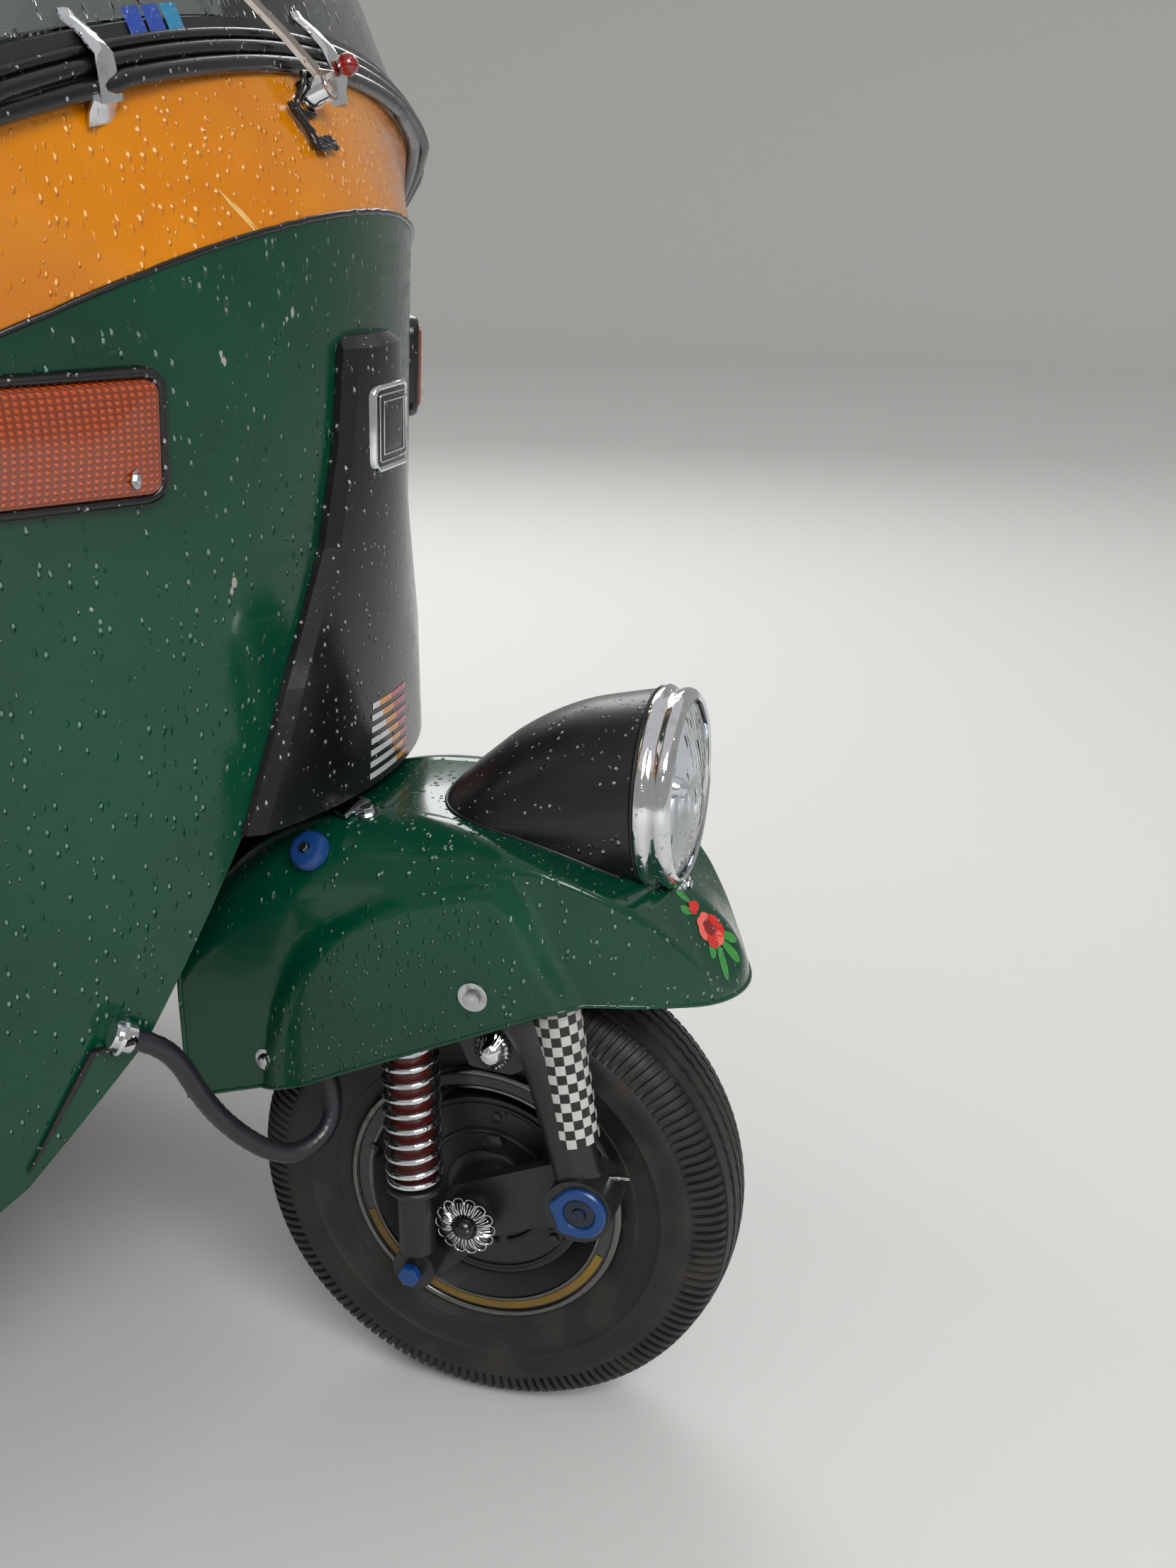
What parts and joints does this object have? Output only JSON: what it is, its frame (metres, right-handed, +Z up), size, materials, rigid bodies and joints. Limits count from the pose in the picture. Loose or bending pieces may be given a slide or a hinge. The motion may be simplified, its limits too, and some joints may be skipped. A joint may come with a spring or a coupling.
{
  "type": "auto rickshaw",
  "caption": "Three-wheeled auto rickshaw with a steered front wheel, open cab doorways, canvas hood, driver seat, passenger bench and rear engine door.",
  "frame": {"origin": "on the ground, under the middle of the vehicle's length and width", "axes": "+Z up, -Y the way the vehicle faces, +X its left"},
  "size_m": [1.3, 2.635, 1.704],
  "materials": {
    "body_green": "glossy paint, worn at the edges",
    "body_yellow": "glossy paint",
    "cover_black": "glossy",
    "trim_black": "satin",
    "steel_black": "satin",
    "screen_glass": "clear",
    "amber_lens": "glossy",
    "red_lens": "glossy",
    "lamp_glass": "ribbed",
    "lamp_chrome": "polished",
    "seat_vinyl": "grained vinyl",
    "hood_cloth": "coated canvas",
    "tyre": "matte",
    "wheel_steel": "satin",
    "engine_metal": "rough",
    "exhaust_steel": "heat stained",
    "spring_steel": "polished",
    "mirror_black": "satin"
  },
  "bodies": {
    "root": {"front_panel": "body_green", "front_band": "body_yellow", "column_cover": "cover_black", "front_indicators": "amber_lens", "windscreen_frame": "body_green", "windscreen_glass": "screen_glass", "floor_pan": "body_green", "chassis_frame": "steel_black", "rear_body": "body_green", "driver_seat_box": "body_green", "driver_cushion": "seat_vinyl", "partition": "body_green", "driver_backrest": "seat_vinyl", "passenger_seat_base": "body_green", "passenger_cushion": "seat_vinyl", "passenger_backrest": "seat_vinyl", "dashboard": "trim_black", "hood_canvas": "hood_cloth", "hood_frame": "steel_black", "engine_block": "engine_metal", "silencer": "exhaust_steel", "trailing_arms": "steel_black", "rear_shocks": "steel_black", "drive_shafts": "steel_black", "rear_bumper": "steel_black", "tail_lamps": "red_lens", "wiper": "trim_black", "mirrors": "mirror_black", "brake_pedal": "steel_black", "starter_lever": "steel_black", "hose": "trim_black", "hose_clamp": "lamp_chrome"},
    "engine_door": {"engine_door": "body_green"},
    "steering": {"fork_arm": "steel_black", "suspension_link": "steel_black", "front_damper": "steel_black", "front_spring": "spring_steel", "front_mudguard": "body_green", "headlamp_shell": "lamp_chrome", "headlamp_ring": "lamp_chrome", "headlamp_lens": "lamp_glass", "handlebar": "steel_black", "hose_socket": "trim_black"},
    "front_wheel": {"front_tyre": "tyre", "front_rim": "wheel_steel"},
    "rear_wheel_left": {"rear_tyre_left": "tyre", "rear_rim_left": "wheel_steel"},
    "rear_wheel_right": {"rear_tyre_right": "tyre", "rear_rim_right": "wheel_steel"}
  },
  "joints": [
    {"name": "steering", "type": "hinge", "parent": "root", "child": "steering", "pos_m": [0, -0.9745, 0.545], "axis": [0, 0.309, 0.9511], "range_deg": [-35, 35], "deforming": ["hose"]},
    {"name": "front_wheel_spin", "type": "hinge", "parent": "steering", "child": "front_wheel", "pos_m": [0, -1.1095, 0.208], "axis": [1, 0, 0], "continuous": true},
    {"name": "rear_wheel_left_spin", "type": "hinge", "parent": "root", "child": "rear_wheel_left", "pos_m": [0.575, 0.8905, 0.208], "axis": [1, 0, 0], "continuous": true},
    {"name": "rear_wheel_right_spin", "type": "hinge", "parent": "root", "child": "rear_wheel_right", "pos_m": [-0.575, 0.8905, 0.208], "axis": [1, 0, 0], "continuous": true},
    {"name": "engine_door_hinge", "type": "hinge", "parent": "root", "child": "engine_door", "pos_m": [0, 1.27154, 0.646], "axis": [1, 0, 0], "range_deg": [0, 85]}
  ]
}
